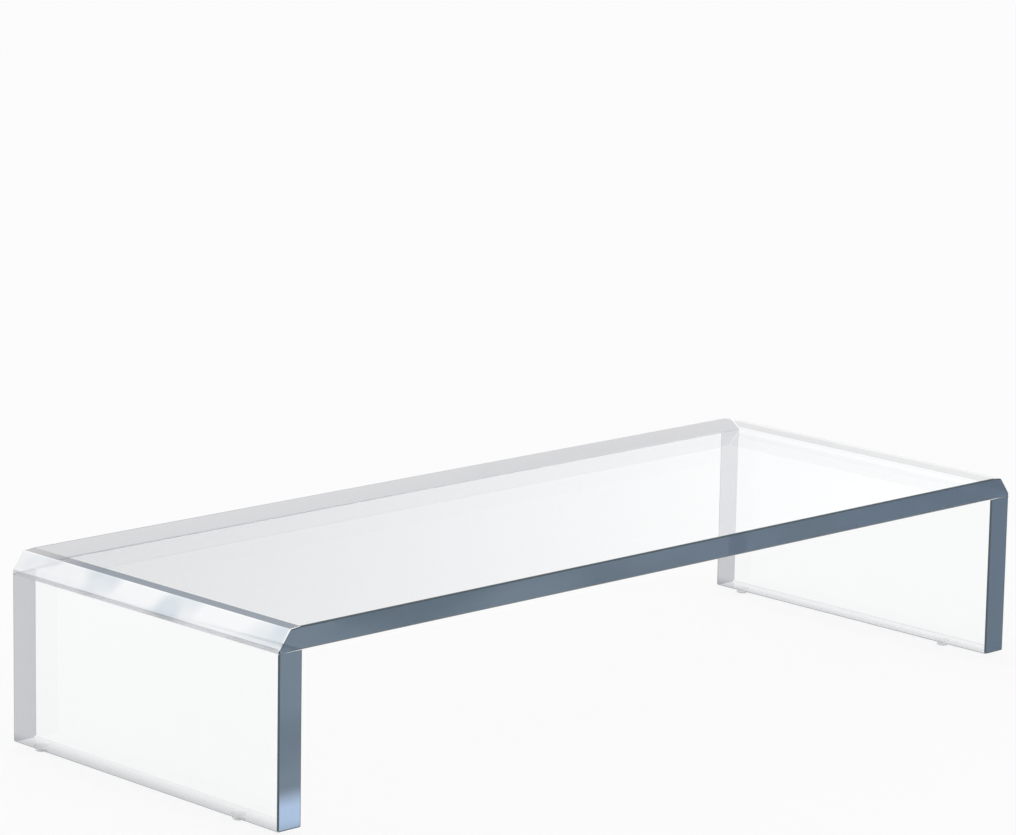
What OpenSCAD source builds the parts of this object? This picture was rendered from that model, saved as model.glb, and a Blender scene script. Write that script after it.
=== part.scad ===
// Monitor riser stand: a clear acrylic shelf cemented onto two acrylic legs.
// Frame: X runs across the width, -Y is the front, +Z is up.
// The origin is on the table, under the middle of the stand.

/* [Shelf] */
// Width of the shelf, from one end to the other
shelf_width = 540; // [400:5:600]
// Depth of the shelf, from the front edge to the rear edge
shelf_depth = 210; // [150:5:280]
// Thickness of the acrylic sheet that the shelf is sawn from
shelf_thickness = 12; // [11.5:0.5:15]

/* [Chamfers] */
// Width of the chamfer along each upper end edge, measured across the top
chamfer_width = 7; // [4:0.5:8]
// Depth of the same chamfer, measured down the end face
chamfer_depth = 10; // [4:0.5:10.5]
// Width of the shallow buffed shoulder that leads from the flat top to each chamfer
shoulder_width = 6.5; // [4:0.5:9]
// Drop of the same shoulder
shoulder_drop = 0.6; // [0.2:0.1:1]
// Width of the small polished arris on the other long edges
arris = 0.8; // [0.2:0.1:1]

/* [Legs] */
// Thickness of the heavier acrylic sheet that both legs are sawn from
leg_thickness = 15; // [12:0.5:20]
// Height from the underside of the legs to the top of the shelf
stand_height = 101.5; // [60:0.5:160]

/* [Joints] */
// Thickness of the cured cement line in each corner joint
cement_thickness = 0.2; // [0.1:0.05:0.3]

/* [Feet] */
// Diameter of each clear bumper foot
foot_diameter = 8; // [6:0.5:10]
// Height of the soft dome of each foot
foot_height = 3; // [1.5:0.1:4]
// Thickness of the adhesive film that holds each foot
film_thickness = 0.2; // [0.1:0.05:0.3]
// Distance from the middle of a front foot to the front end of its leg
front_foot_inset = 38; // [10:1:50]
// Distance from the middle of a rear foot to the rear end of its leg
rear_foot_inset = 14; // [10:1:50]

/* [Hidden] */

// Heights of the faces at which the pieces meet, measured from the table
film_z = foot_height;
leg_z = foot_height + film_thickness;
shelf_top_z = leg_z + stand_height;
shelf_z = shelf_top_z - shelf_thickness;
cement_z = shelf_z - cement_thickness;
leg_height = cement_z - leg_z;

// Middle of the right leg, and of the front and rear feet along it
leg_x = (shelf_width - leg_thickness) / 2;
front_foot_y = front_foot_inset - shelf_depth / 2;
rear_foot_y = shelf_depth / 2 - rear_foot_inset;

// The dome of a foot stands on a small flat and rises to a short straight skirt
foot_contact_r = foot_diameter / 4;
foot_skirt = foot_height / 4;
dome_steps = 6;

clear_tint = [0.86, 0.91, 0.95, 0.45];
cement_tint = [0.80, 0.87, 0.92, 0.60];
foot_tint = [0.92, 0.93, 0.93, 0.60];
film_tint = [0.85, 0.86, 0.84, 0.70];

// Outline of the shelf seen from the front. Near each end its top falls away gently to the wide chamfer.
function shelf_end_outline() =
    let (
        half = shelf_width / 2,
        brow_x = half - chamfer_width,
        shoulder_x = brow_x - shoulder_width,
        chamfer_foot = shelf_thickness - chamfer_depth,
        chamfer_brow = shelf_thickness - shoulder_drop
    )
    [
        [-half, 0],
        [half, 0],
        [half, chamfer_foot],
        [brow_x, chamfer_brow],
        [shoulder_x, shelf_thickness],
        [-shoulder_x, shelf_thickness],
        [-brow_x, chamfer_brow],
        [-half, chamfer_foot]
    ];

// Rectangle from [0, 0] to [w, h] with its four corners cut back by the arris
function eased_outline(w, h) = [
    [arris, 0], [w - arris, 0], [w, arris], [w, h - arris],
    [w - arris, h], [arris, h], [0, h - arris], [0, arris]
];

// Point on the quarter ellipse that joins the contact flat to the skirt, t from 0 to 1
function dome_point(t) = [
    foot_contact_r + (foot_diameter / 2 - foot_contact_r) * sin(90 * t),
    (foot_height - foot_skirt) * (1 - cos(90 * t))
];

// Shelf: the chamfered outline run front to back, its long edges eased
module shelf_plate() {
    color(clear_tint)
    translate([0, 0, shelf_z])
    intersection() {
        translate([0, shelf_depth / 2, 0])
        rotate([90, 0, 0])
        linear_extrude(height = shelf_depth)
        polygon(shelf_end_outline());

        translate([-shelf_width / 2, -shelf_depth / 2, 0])
        rotate([90, 0, 90])
        linear_extrude(height = shelf_width)
        polygon(eased_outline(shelf_depth, shelf_thickness));
    }
}

// Leg: a slab on edge with its four upright corners eased; side is -1 or 1
module leg(side) {
    color(clear_tint)
    translate([side * leg_x - leg_thickness / 2, -shelf_depth / 2, leg_z])
    linear_extrude(height = leg_height)
    polygon(eased_outline(leg_thickness, shelf_depth));
}

// Cement: the cured film that fills the butt joint over a leg
module joint_cement(side) {
    color(cement_tint)
    translate([side * leg_x - leg_thickness / 2, -shelf_depth / 2, cement_z])
    linear_extrude(height = cement_thickness)
    polygon(eased_outline(leg_thickness, shelf_depth));
}

// Foot: a soft clear dome turned about its own axis; side is -1 or 1, y is its place along the leg
module foot(side, y) {
    color(foot_tint)
    translate([side * leg_x, y, 0])
    rotate_extrude($fn = 64)
    polygon(concat(
        [[0, 0]],
        [for (i = [0 : dome_steps]) dome_point(i / dome_steps)],
        [[foot_diameter / 2, foot_height], [0, foot_height]]
    ));
}

// Film: the round adhesive between a foot and the underside of its leg
module foot_film(side, y) {
    color(film_tint)
    translate([side * leg_x, y, film_z])
    cylinder(d = foot_diameter - 2 * film_thickness, h = film_thickness, $fn = 64);
}

shelf_plate();
leg(-1);  // left_leg
leg(1);  // right_leg
joint_cement(-1);  // left_joint_cement
joint_cement(1);  // right_joint_cement
foot(-1, front_foot_y);  // front_left_foot
foot(1, front_foot_y);  // front_right_foot
foot(-1, rear_foot_y);  // rear_left_foot
foot(1, rear_foot_y);  // rear_right_foot
foot_film(-1, front_foot_y);  // front_left_foot_film
foot_film(1, front_foot_y);  // front_right_foot_film
foot_film(-1, rear_foot_y);  // rear_left_foot_film
foot_film(1, rear_foot_y);  // rear_right_foot_film
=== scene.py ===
import math

import bmesh
import bpy
from mathutils import Matrix, Vector


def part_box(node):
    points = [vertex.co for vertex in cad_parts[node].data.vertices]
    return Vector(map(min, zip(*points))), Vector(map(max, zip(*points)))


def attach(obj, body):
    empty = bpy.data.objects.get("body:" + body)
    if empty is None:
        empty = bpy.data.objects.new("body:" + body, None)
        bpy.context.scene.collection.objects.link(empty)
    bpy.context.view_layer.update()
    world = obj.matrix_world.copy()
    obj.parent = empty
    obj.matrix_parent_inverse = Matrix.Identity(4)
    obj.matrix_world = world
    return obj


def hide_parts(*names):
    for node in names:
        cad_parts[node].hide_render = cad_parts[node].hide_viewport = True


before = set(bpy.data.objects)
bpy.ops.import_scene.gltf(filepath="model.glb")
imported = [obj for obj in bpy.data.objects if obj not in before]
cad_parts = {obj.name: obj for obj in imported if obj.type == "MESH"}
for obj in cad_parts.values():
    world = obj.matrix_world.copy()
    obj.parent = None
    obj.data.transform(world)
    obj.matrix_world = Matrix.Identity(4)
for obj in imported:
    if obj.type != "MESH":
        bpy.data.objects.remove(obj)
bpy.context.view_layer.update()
SCENE = bpy.context.scene
MM = 0.001

# Camera: where it looks from, in degrees and metres, its lens in millimetres, and how far it sees
CAMERA_AZIMUTH = -43.71
CAMERA_ELEVATION = 11.88
CAMERA_ROLL = 1.01
CAMERA_DISTANCE = 2.4287
CAMERA_AIM = Vector((0.0038, 0.025, 0.1517))
CAMERA_LENS = 159.4
SENSOR_WIDTH = 36.0
VIEW_REACH = 100

# Acrylic: what it takes off red, green and blue light per metre. The slabs show what is behind them almost
# unbent, so their own index is low, and a coat with acrylic's real index gives them their gloss.
ABSORPTION = (1.1, 0.9, 0.8)
ACRYLIC_IOR = 1.02
GLOSS_IOR = 1.49
GLOSS_HAZE = 0.03

# How each kind of face differs from the clear ones: its colour seen from outside and from inside the slab,
# how milky it is from outside, and its haze. From inside, no face is milky. The edges' colour from outside
# and, on the shelf, from inside varies, so it is given below instead.
LOOKS = {
    "edge": {"inside": (0.31, 0.31, 0.35), "milky": 0.7, "haze": 0.15},
    # The arris's dark colour from outside is painted shade: the dark line that refraction in the rounding
    # gives
    "arris": {"outside": (0.03, 0.05, 0.065), "inside": (0.31, 0.31, 0.35), "milky": 0.8, "haze": 0.15},
    "chamfer": {"outside": (0.97, 0.98, 0.99), "inside": (0.46, 0.46, 0.47), "milky": 0.5, "haze": 0.4},
    # The stripe's dark colour from outside is painted shade, on the left end's shoulder only
    "stripe": {"outside": (0.153, 0.19, 0.235), "inside": (0.95, 0.95, 0.95), "milky": 0.5, "haze": 0.1},
    "end": {"outside": (0.64, 0.66, 0.68), "inside": (0.85, 0.85, 0.86), "milky": 0.5, "haze": 0.2},
    # The rim's grey from outside is painted shade along the rounded foot of the legs, next to the floor
    "rim": {"outside": (0.36, 0.37, 0.39), "inside": (0.85, 0.85, 0.86), "milky": 0.5, "haze": 0.1}}

# How the kinds of face are told apart. The first four are limits on one part of a face's normal: above them
# the face looks that way, lies square to it or is rounded towards it, and below the last it looks across it.
# The slopes are limits on the normal's sideways part times its upward part, which is 0 on a face along an
# axis, 0.09 on the shoulder and 0.48 on the chamfer.
FACING = 0.9
SQUARE = 0.985
ROUNDED = 0.15
ACROSS = 0.2
LEVEL_SLOPE = 0.05
CHAMFER_SLOPE = 0.3

# A place belongs to the shelf from this far above its underside
JOINT_MARGIN = 0.1 * MM

# Colours that vary over a kind of face: the edges from the left end to the right and their darker patches,
# the painted light at the foot of the left leg's edges, the shelf's edges seen from inside, the patches on
# the chamfers and on the ends, the left end's dark stripe of painted shade towards the rear, and the painted
# shade along the foot of the legs' wide faces
EDGE_LEFT = (0.089, 0.137, 0.195)
EDGE_RIGHT = (0.040, 0.077, 0.133)
EDGE_DEEP = (0.045, 0.08, 0.122)
EDGE_PAINTED_LIGHT = (0.36, 0.51, 0.76)
SHELF_INSIDE_LEFT = (0.62, 0.63, 0.65)
SHELF_INSIDE_RIGHT = (0.26, 0.26, 0.29)
CHAMFER_BLUE = (0.66, 0.73, 0.79)
END_PATCH = (0.38, 0.40, 0.42)
PAINTED_STRIPE_REAR = (0.52, 0.51, 0.50)
FOOT_SHADE = (0.45, 0.47, 0.50)

# Stretch and shift of the noise that lays out the patches, on the chamfers and ends and on the front and rear
# edges, and the values of the noise between which a patch fades in
CHAMFER_NOISE = ((40, 30, 40), (23, 19, 0))
CHAMFER_PATCH = (0.42, 0.72)
EDGE_NOISE = ((9, 9, 24), (-0.2, 0, 0))
EDGE_PATCH = (0.43, 0.66)

# The stripe of painted shade starts to change this far from the middle of the shelf's depth towards its rear,
# as a fraction
PAINTED_STRIPE_FADE = 0.45

# Cured cement: almost clear through its depth, blue-grey like the sawn edges on its own front and rear rims
CEMENT_CLEAR = (0.985, 0.99, 0.995)
CEMENT_RIM = (0.09, 0.13, 0.18)
CEMENT_RIM_MILKY = 0.9
CEMENT_HAZE = 0.1

# Bumper feet: clear, and grey with painted shade where they touch the table, with the heights between which
# the painted shade fades in
BUMPER_CLEAR = (0.985, 0.99, 0.99)
BUMPER_CONTACT_SHADE = (0.36, 0.38, 0.39)
BUMPER_HAZE = 0.1
CONTACT_SHADE_TOP = (1.3 * MM, 0.5 * MM)

# Adhesive films of the feet
FILM_TINT = (0.97, 0.97, 0.96)
FILM_HAZE = 0.2

# Heights between which the painted light fades in and, lower down, out again, and up to which the painted
# shade reaches
PAINTED_LIGHT_TOP = (26 * MM, 14 * MM)
PAINTED_LIGHT_FOOT = (-4 * MM, 9 * MM)
SHADE_TOP = 10 * MM

# Shape of the shelf's ends, the same as in the CAD
CHAMFER_WIDTH = 7 * MM
CHAMFER_DEPTH = 10 * MM
SHOULDER_WIDTH = 6.5 * MM
SHOULDER_DROP = 0.6 * MM

# Rounding of the polished edges, and the angles in radians above which an edge is sharp and gets rounded
EDGE_ROUND = 0.8 * MM
ROUND_STEPS = 4
SHARP_FROM = 0.01
ROUNDED_FROM = 0.3

# Bumper feet: the contact flat as a fraction of the radius, the straight skirt and the rolled upper rim as
# fractions of the height, and the steps of the curves
FOOT_FLAT = 1 / 2
FOOT_SKIRT = 1 / 4
FOOT_RIM = 1 / 10
TURN_STEPS = 64
DOME_STEPS = 8
TURNED_SHARP_FROM = math.radians(40)

# Two places closer than this are the same place
TOUCHING = 0.001 * MM

# The cement reaches this far into the slabs on both sides, so that light crosses the joint unbroken, and its
# rims lie this far inside theirs
CEMENT_BITE = 0.02 * MM
CEMENT_INSET = 0.05 * MM

# Studio: the floor's half width in metres, its own glow and its colour
FLOOR_REACH = 20
FLOOR_GLOW = 0.855
FLOOR_ALBEDO = 0.10

# Sky: its colours low down and high up, and the x, the y and the z of the direction between which each change
# runs
SKY_LOW_LEFT = (0.53, 0.53, 0.55)
SKY_LOW_RIGHT = (1.2, 1.2, 1.2)
SKY_LOW_FRONT = (0.35, 0.36, 0.38)
SKY_HIGH = (1.3, 1.3, 1.3)
SKY_RIGHTWARD = (0.58, 0.76)
SKY_FRONTWARD = (0.1, -0.5)
SKY_UPWARD = (0.28, 0.6)

# How often light may turn, since it crosses many faces of the slabs
LIGHT_BOUNCES = 48
GLOSSY_BOUNCES = 24

# The floor lies this far below the feet, and the feet's films reach this far into the feet and the legs, so
# that no two faces coincide
CONTACT_GAP = 0.03 * MM


def link(obj):
    SCENE.collection.objects.link(obj)
    return obj


# ---------------------------------------------------------------- materials

def new_material(name):
    mat = bpy.data.materials.new(name)
    mat.use_nodes = True
    return mat, mat.node_tree, mat.node_tree.nodes["Principled BSDF"]


def node(tree, kind, inputs=(), **settings):
    made = tree.nodes.new(kind)
    for key, value in settings.items():
        setattr(made, key, value)
    for key, value in dict(inputs).items():
        if isinstance(value, bpy.types.NodeSocket):
            tree.links.new(value, made.inputs[key])
        else:
            made.inputs[key].default_value = value
    return made


def absorb(tree, per_metre):
    """Volume absorption with the given loss per metre for red, green and blue."""
    # A density above the strongest loss keeps each part of the colour above 0
    density = 1.25 * max(per_metre)
    colour = [1 - taken / density for taken in per_metre]
    volume = node(tree, "ShaderNodeVolumeAbsorption", {"Color": (*colour, 1), "Density": density})
    tree.links.new(volume.outputs[0], tree.nodes["Material Output"].inputs["Volume"])


def math_node(tree, operation, *values):
    return node(tree, "ShaderNodeMath", dict(enumerate(values)), operation=operation).outputs[0]


def mix_colour(tree, factor, a, b):
    """Colour a where the factor is 0 and colour b where it is 1."""
    mixer = node(tree, "ShaderNodeMix", data_type="RGBA")
    sockets = {socket.identifier: socket for socket in mixer.inputs}
    tree.links.new(factor, sockets["Factor_Float"])
    for key, colour in (("A_Color", a), ("B_Color", b)):
        if isinstance(colour, bpy.types.NodeSocket):
            tree.links.new(colour, sockets[key])
        else:
            sockets[key].default_value = (*colour, 1)
    return next(socket for socket in mixer.outputs if socket.identifier == "Result_Color")


def more(tree, value, limit):
    return math_node(tree, "GREATER_THAN", value, limit)


def less(tree, value, limit):
    return math_node(tree, "LESS_THAN", value, limit)


def ramp(tree, value, start, end):
    """0 up to start, 1 from end on, and a smooth step between them. start may be the higher of the two."""
    limits = {"Value": value, "From Min": start, "From Max": end}
    return node(tree, "ShaderNodeMapRange", limits, interpolation_type="SMOOTHSTEP").outputs[0]


def both(tree, *masks):
    """All the masks at once."""
    result = masks[0]
    for mask in masks[1:]:
        result = math_node(tree, "MULTIPLY", result, mask)
    return result


def between(tree, value, low, high):
    return both(tree, more(tree, value, low), less(tree, value, high))


def face_masks(tree, place):
    """Masks, each 0 or 1, for the kinds of face in LOOKS, for upright faces and for the shelf."""
    true_normal = node(tree, "ShaderNodeNewGeometry").outputs["True Normal"]
    normal = node(tree, "ShaderNodeSeparateXYZ", {0: true_normal}).outputs
    sideways, forward, upward = (math_node(tree, "ABSOLUTE", normal[i]) for i in range(3))
    slope = math_node(tree, "MULTIPLY", sideways, upward)
    on_shelf = more(tree, place[2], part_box("shelf_plate")[0].z + JOINT_MARGIN)
    on_end = both(tree, on_shelf, less(tree, forward, ACROSS))
    at_foot = less(tree, place[2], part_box("left_leg")[0].z + EDGE_ROUND)
    upright = more(tree, sideways, FACING)
    gently = both(tree, between(tree, slope, LEVEL_SLOPE, CHAMFER_SLOPE), more(tree, upward, FACING))
    return {
        "edge": more(tree, forward, SQUARE),
        "arris": both(tree, between(tree, forward, ROUNDED, SQUARE), less(tree, slope, LEVEL_SLOPE)),
        "chamfer": both(tree, on_end, more(tree, slope, CHAMFER_SLOPE)),
        # The stripe of painted shade lies on the left shoulder only
        "stripe": both(tree, on_end, gently, less(tree, place[0], 0.0)),
        "end": both(tree, on_end, upright),
        "rim": both(tree, at_foot, more(tree, slope, LEVEL_SLOPE)),
        "upright": upright,
        "shelf": on_shelf}


def soft_noise(tree, layout, patch):
    """Slow patches, from 0 to 1, laid out by noise over the object's stretched and shifted space."""
    place = node(tree, "ShaderNodeTexCoord").outputs["Object"]
    stretch, shift = layout
    laid_out = node(tree, "ShaderNodeVectorMath", {0: place, 1: stretch, 2: shift}, operation="MULTIPLY_ADD")
    settings = {"Vector": laid_out.outputs[0], "Scale": 1.0, "Detail": 1.0, "Roughness": 0.4}
    noise = node(tree, "ShaderNodeTexNoise", settings)
    return ramp(tree, noise.outputs[0], *patch)


def across_width(tree, place, left, right):
    """A colour that changes smoothly from the stand's left end to its right end."""
    half_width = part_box("shelf_plate")[1].x
    return mix_colour(tree, ramp(tree, place[0], -half_width, half_width), left, right)


def edge_colour(tree, place):
    """Blue-grey, deeper to the right and in patches, with painted light, pale blue, at the foot of the left
    leg.
    """
    colour = across_width(tree, place, EDGE_LEFT, EDGE_RIGHT)
    colour = mix_colour(tree, soft_noise(tree, EDGE_NOISE, EDGE_PATCH), colour, EDGE_DEEP)
    on_left = less(tree, place[0], 0.0)
    # Painted light: the left leg's edges turn pale blue towards its foot
    painted_light = both(tree, on_left, ramp(tree, place[2], *PAINTED_LIGHT_TOP), ramp(tree, place[2], *PAINTED_LIGHT_FOOT))
    return mix_colour(tree, painted_light, colour, EDGE_PAINTED_LIGHT)


def patchy_colour(tree, kind, patch):
    """The colour of a chamfer or of an end, with soft patches of another colour."""
    return mix_colour(tree, soft_noise(tree, CHAMFER_NOISE, CHAMFER_PATCH), LOOKS[kind]["outside"], patch)


def painted_stripe_colour(tree, place):
    """Painted shade: dark, and paler towards the rear."""
    half_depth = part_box("shelf_plate")[1].y
    rearward = ramp(tree, place[1], PAINTED_STRIPE_FADE * half_depth, half_depth)
    return mix_colour(tree, rearward, LOOKS["stripe"]["outside"], PAINTED_STRIPE_REAR)


def clear_acrylic():
    """Clear sheet whose sawn, chamfered and rounded faces have looks of their own."""
    mat, tree, shader = new_material("clear_acrylic")
    geometry = node(tree, "ShaderNodeNewGeometry").outputs
    place = node(tree, "ShaderNodeSeparateXYZ", {0: geometry["Position"]}).outputs
    outside = math_node(tree, "SUBTRACT", 1.0, geometry["Backfacing"])
    mask = face_masks(tree, place)
    varied = {
        "edge": edge_colour(tree, place),
        "chamfer": patchy_colour(tree, "chamfer", CHAMFER_BLUE),
        "end": patchy_colour(tree, "end", END_PATCH),
        "stripe": painted_stripe_colour(tree, place)}
    shelf_inside = across_width(tree, place, SHELF_INSIDE_LEFT, SHELF_INSIDE_RIGHT)
    varied_inside = {"edge": mix_colour(tree, mask["shelf"], LOOKS["edge"]["inside"], shelf_inside)}
    shade = both(tree, outside, mask["upright"], ramp(tree, place[2], SHADE_TOP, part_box("left_leg")[0].z))
    colour = mix_colour(tree, shade, (1, 1, 1), FOOT_SHADE)
    milky, haze = 0.0, 0.0
    for kind, look in LOOKS.items():
        from_inside = varied_inside.get(kind, look["inside"])
        from_outside = varied.get(kind, look.get("outside"))
        seen = mix_colour(tree, outside, from_inside, from_outside)
        colour = mix_colour(tree, mask[kind], colour, seen)
        milky = math_node(tree, "MULTIPLY_ADD", mask[kind], look["milky"], milky)
        haze = math_node(tree, "MULTIPLY_ADD", mask[kind], look["haze"], haze)
    clear = math_node(tree, "SUBTRACT", 1.0, math_node(tree, "MULTIPLY", milky, outside))
    tree.links.new(colour, shader.inputs["Base Color"])
    tree.links.new(haze, shader.inputs["Roughness"])
    tree.links.new(clear, shader.inputs["Transmission Weight"])
    shader.inputs["IOR"].default_value = ACRYLIC_IOR
    add_gloss(shader)
    absorb(tree, ABSORPTION)
    return mat


def add_gloss(shader):
    shader.inputs["Coat Weight"].default_value = 1
    shader.inputs["Coat Roughness"].default_value = GLOSS_HAZE
    shader.inputs["Coat IOR"].default_value = GLOSS_IOR


def cured_cement():
    """Clear but for its front and rear rims."""
    mat, tree, shader = new_material("joint_cement")
    true_normal = node(tree, "ShaderNodeNewGeometry").outputs["True Normal"]
    normal = node(tree, "ShaderNodeSeparateXYZ", {0: true_normal}).outputs
    rim = more(tree, math_node(tree, "ABSOLUTE", normal[1]), FACING)
    clear = math_node(tree, "MULTIPLY_ADD", rim, -CEMENT_RIM_MILKY, 1.0)
    tree.links.new(mix_colour(tree, rim, CEMENT_CLEAR, CEMENT_RIM), shader.inputs["Base Color"])
    tree.links.new(clear, shader.inputs["Transmission Weight"])
    shader.inputs["Roughness"].default_value = CEMENT_HAZE
    shader.inputs["IOR"].default_value = ACRYLIC_IOR
    return mat


def soft_bumper():
    """Clear, and grey with painted shade near the table."""
    mat, tree, shader = new_material("clear_bumper")
    position = node(tree, "ShaderNodeNewGeometry").outputs["Position"]
    height = node(tree, "ShaderNodeSeparateXYZ", {0: position}).outputs[2]
    colour = mix_colour(tree, ramp(tree, height, *CONTACT_SHADE_TOP), BUMPER_CLEAR, BUMPER_CONTACT_SHADE)
    tree.links.new(colour, shader.inputs["Base Color"])
    shader.inputs["Roughness"].default_value = BUMPER_HAZE
    shader.inputs["IOR"].default_value = ACRYLIC_IOR
    shader.inputs["Transmission Weight"].default_value = 1
    add_gloss(shader)
    return mat


def foot_adhesive():
    mat, _, shader = new_material("foot_adhesive")
    shader.inputs["Base Color"].default_value = (*FILM_TINT, 1)
    shader.inputs["Roughness"].default_value = FILM_HAZE
    shader.inputs["IOR"].default_value = ACRYLIC_IOR
    shader.inputs["Transmission Weight"].default_value = 1
    return mat


# ---------------------------------------------------------------- pieces

def prism(name, outline, low, high, stays_sharp):
    """Solid from y = low to y = high over an outline in X and Z, its edges rounded save where stays_sharp."""
    mesh = bpy.data.meshes.new(name)
    bm = bmesh.new()
    front = [bm.verts.new((x, low, z)) for x, z in outline]
    back = [bm.verts.new((x, high, z)) for x, z in outline]
    count = len(outline)
    for i in range(count):
        j = (i + 1) % count
        bm.faces.new((front[i], back[i], back[j], front[j]))
    bm.faces.new(front)
    bm.faces.new(back[::-1])
    bmesh.ops.recalc_face_normals(bm, faces=bm.faces)
    for edge in bm.edges:
        edge.smooth = edge.calc_face_angle() < SHARP_FROM
    edges = [e for e in bm.edges if e.calc_face_angle() > ROUNDED_FROM and not stays_sharp(edge_middle(e))]
    bmesh.ops.bevel(bm, geom=edges, offset=EDGE_ROUND, segments=ROUND_STEPS, profile=0.5, affect="EDGES",
                    clamp_overlap=True)
    bm.to_mesh(mesh)
    bm.free()
    return link(bpy.data.objects.new(name, mesh))


def finish_piece(obj, material, replaced):
    """Material, shading that keeps the flat faces flat beside their roundings, and the place in the frame."""
    obj.data.materials.append(material)
    for face in obj.data.polygons:
        face.use_smooth = True
    smooth = obj.modifiers.new("flat faces, smooth roundings", "WEIGHTED_NORMAL")
    smooth.mode = "FACE_AREA"
    smooth.weight = 100
    smooth.keep_sharp = True
    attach(obj, "root")
    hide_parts(replaced)


def edge_middle(edge):
    return (edge.verts[0].co + edge.verts[1].co) / 2


def near(a, b):
    return abs(a - b) < TOUCHING


def make_shelf(material):
    low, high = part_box("shelf_plate")
    leg_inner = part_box("right_leg")[0].x
    brow_x = high.x - CHAMFER_WIDTH
    shoulder_x = brow_x - SHOULDER_WIDTH
    foot_z, brow_z = high.z - CHAMFER_DEPTH, high.z - SHOULDER_DROP
    right = [(leg_inner, low.z), (high.x, low.z), (high.x, foot_z), (brow_x, brow_z), (shoulder_x, high.z)]
    outline = right + [(-x, z) for x, z in reversed(right)]

    def at_joint(middle):
        return near(middle.z, low.z) and abs(middle.x) > leg_inner - TOUCHING

    obj = prism("shelf", outline, low.y, high.y, at_joint)
    finish_piece(obj, material, "shelf_plate")


def make_leg(side, material):
    low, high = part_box(side + "_leg")
    outline = [(low.x, low.z), (high.x, low.z), (high.x, high.z), (low.x, high.z)]
    obj = prism("leg_" + side, outline, low.y, high.y, lambda middle: near(middle.z, high.z))
    finish_piece(obj, material, side + "_leg")


def make_cement(side, material):
    low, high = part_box(side + "_joint_cement")
    left, right = low.x + CEMENT_INSET, high.x - CEMENT_INSET
    bottom, top = low.z - CEMENT_BITE, high.z + CEMENT_BITE
    outline = [(left, bottom), (right, bottom), (right, top), (left, top)]
    obj = prism("cement_" + side, outline, low.y + CEMENT_INSET, high.y - CEMENT_INSET, lambda middle: True)
    finish_piece(obj, material, side + "_joint_cement")


def turned(name, place, profile):
    """Solid turned about the upright line through place, from a profile of (radius, height) points."""
    mesh = bpy.data.meshes.new(name)
    bm = bmesh.new()
    turn = [2 * math.pi * i / TURN_STEPS for i in range(TURN_STEPS)]
    rings = []
    for radius, height in profile:
        ring = [(place.x + radius * math.cos(a), place.y + radius * math.sin(a), height) for a in turn]
        rings.append([bm.verts.new(point) for point in ring])
    for lower, upper in zip(rings, rings[1:]):
        for i in range(TURN_STEPS):
            j = (i + 1) % TURN_STEPS
            bm.faces.new((lower[i], lower[j], upper[j], upper[i]))
    bm.faces.new(rings[0][::-1])
    bm.faces.new(rings[-1])
    for edge in bm.edges:
        edge.smooth = edge.calc_face_angle() < TURNED_SHARP_FROM
    bm.to_mesh(mesh)
    bm.free()
    return link(bpy.data.objects.new(name, mesh))


def make_foot(corner, material):
    """A bumper: a small flat, a quarter-ellipse dome, a straight skirt and a rolled upper rim."""
    low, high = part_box(corner + "_foot")
    middle = (low + high) / 2
    radius, height = (high.x - low.x) / 2, high.z - low.z
    flat, skirt, rim = FOOT_FLAT * radius, FOOT_SKIRT * height, FOOT_RIM * height
    swell, rise = radius - flat, height - skirt
    angles = [math.pi / 2 * i / DOME_STEPS for i in range(DOME_STEPS + 1)]
    profile = [(flat + swell * math.sin(a), low.z + rise * (1 - math.cos(a))) for a in angles]
    profile += [(radius - rim * (1 - math.cos(a)), high.z - rim + rim * math.sin(a)) for a in angles]
    obj = turned("bumper_" + corner, middle, profile)
    finish_piece(obj, material, corner + "_foot")


def make_film(corner, material):
    low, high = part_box(corner + "_foot_film")
    radius = (high.x - low.x) / 2
    profile = [(radius, low.z - CONTACT_GAP), (radius, high.z + CONTACT_GAP)]
    obj = turned("film_" + corner, (low + high) / 2, profile)
    finish_piece(obj, material, corner + "_foot_film")


# ---------------------------------------------------------------- studio

def make_camera():
    azimuth, elevation, roll = (math.radians(a) for a in (CAMERA_AZIMUTH, CAMERA_ELEVATION, CAMERA_ROLL))
    ahead = Vector((
        -math.sin(azimuth) * math.cos(elevation),
        math.cos(azimuth) * math.cos(elevation),
        -math.sin(elevation)))
    level = ahead.cross(Vector((0, 0, 1))).normalized()
    above = level.cross(ahead)
    right = level * math.cos(roll) + above * math.sin(roll)
    up = above * math.cos(roll) - level * math.sin(roll)
    camera = bpy.data.cameras.new("camera")
    camera.sensor_width = SENSOR_WIDTH
    camera.lens = CAMERA_LENS
    camera.clip_end = VIEW_REACH
    obj = link(bpy.data.objects.new("camera", camera))
    pose = Matrix((right, up, -ahead)).transposed().to_4x4()
    pose.translation = CAMERA_AIM - ahead * CAMERA_DISTANCE
    obj.matrix_world = pose
    SCENE.camera = obj


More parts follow.
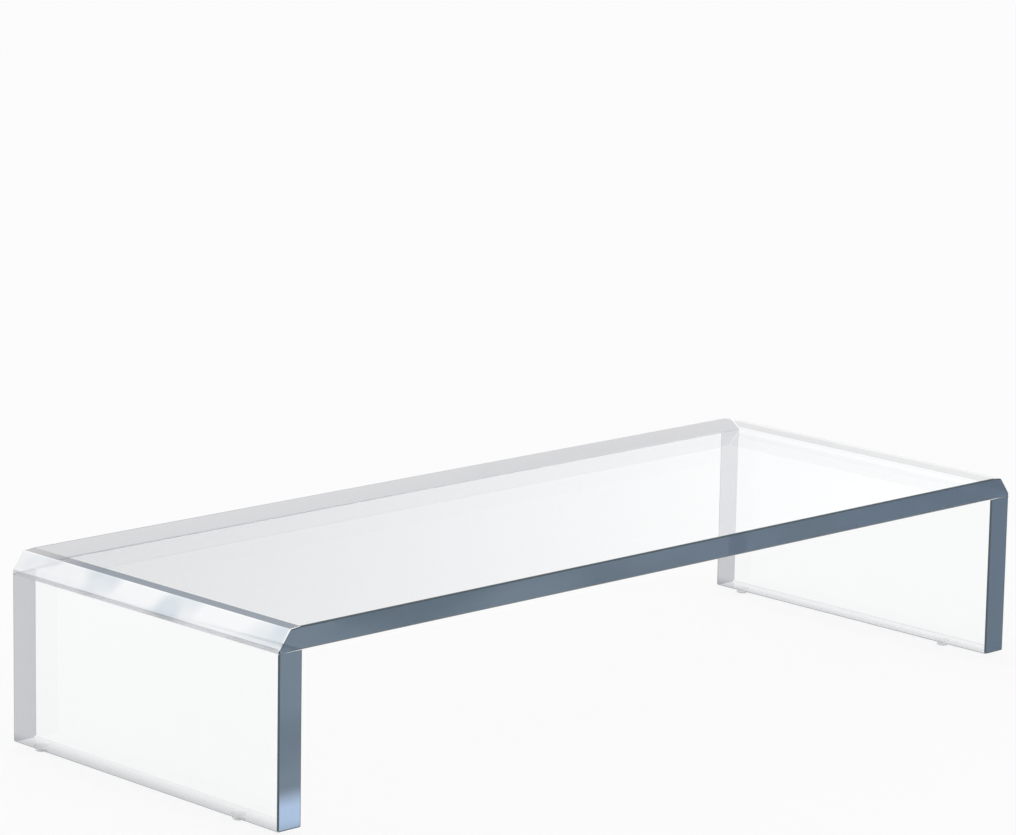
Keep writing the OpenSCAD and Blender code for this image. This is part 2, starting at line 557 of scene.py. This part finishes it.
def make_floor():
    mesh = bpy.data.meshes.new("floor")
    corners = [(-FLOOR_REACH, -FLOOR_REACH), (FLOOR_REACH, -FLOOR_REACH),
               (FLOOR_REACH, FLOOR_REACH), (-FLOOR_REACH, FLOOR_REACH)]
    mesh.from_pydata([(x, y, -CONTACT_GAP) for x, y in corners], [], [(0, 1, 2, 3)])
    mat, _, shader = new_material("floor")
    shader.inputs["Base Color"].default_value = (FLOOR_ALBEDO, FLOOR_ALBEDO, FLOOR_ALBEDO, 1)
    shader.inputs["Roughness"].default_value = 1
    shader.inputs["Specular IOR Level"].default_value = 0
    shader.inputs["Emission Color"].default_value = (1, 1, 1, 1)
    shader.inputs["Emission Strength"].default_value = FLOOR_GLOW
    mesh.materials.append(mat)
    floor = link(bpy.data.objects.new("floor", mesh))


def make_world():
    """A soft studio sky: bright above, greyer low down, and darkest low down in front, where the room is."""
    world = bpy.data.worlds.new("studio")
    world.use_nodes = True
    tree = world.node_tree
    toward = node(tree, "ShaderNodeTexCoord").outputs["Generated"]
    xyz = node(tree, "ShaderNodeSeparateXYZ", {0: toward}).outputs

    behind = mix_colour(tree, ramp(tree, xyz[0], *SKY_RIGHTWARD), SKY_LOW_LEFT, SKY_LOW_RIGHT)
    low = mix_colour(tree, ramp(tree, xyz[1], *SKY_FRONTWARD), behind, SKY_LOW_FRONT)
    sky = mix_colour(tree, ramp(tree, xyz[2], *SKY_UPWARD), low, SKY_HIGH)
    background = tree.nodes["Background"]
    tree.links.new(sky, background.inputs["Color"])
    background.inputs["Strength"].default_value = 1
    SCENE.world = world


def set_light_paths():
    SCENE.view_settings.view_transform = "Standard"
    cycles = SCENE.cycles
    cycles.max_bounces = LIGHT_BOUNCES
    cycles.transmission_bounces = LIGHT_BOUNCES
    cycles.glossy_bounces = GLOSSY_BOUNCES


make_camera()
acrylic = clear_acrylic()
cement = cured_cement()
make_shelf(acrylic)
for side in ("left", "right"):
    make_leg(side, acrylic)
    make_cement(side, cement)
bumper = soft_bumper()
film = foot_adhesive()
for corner in ("front_left", "front_right", "rear_left", "rear_right"):
    make_foot(corner, bumper)
    make_film(corner, film)
make_floor()
make_world()
set_light_paths()
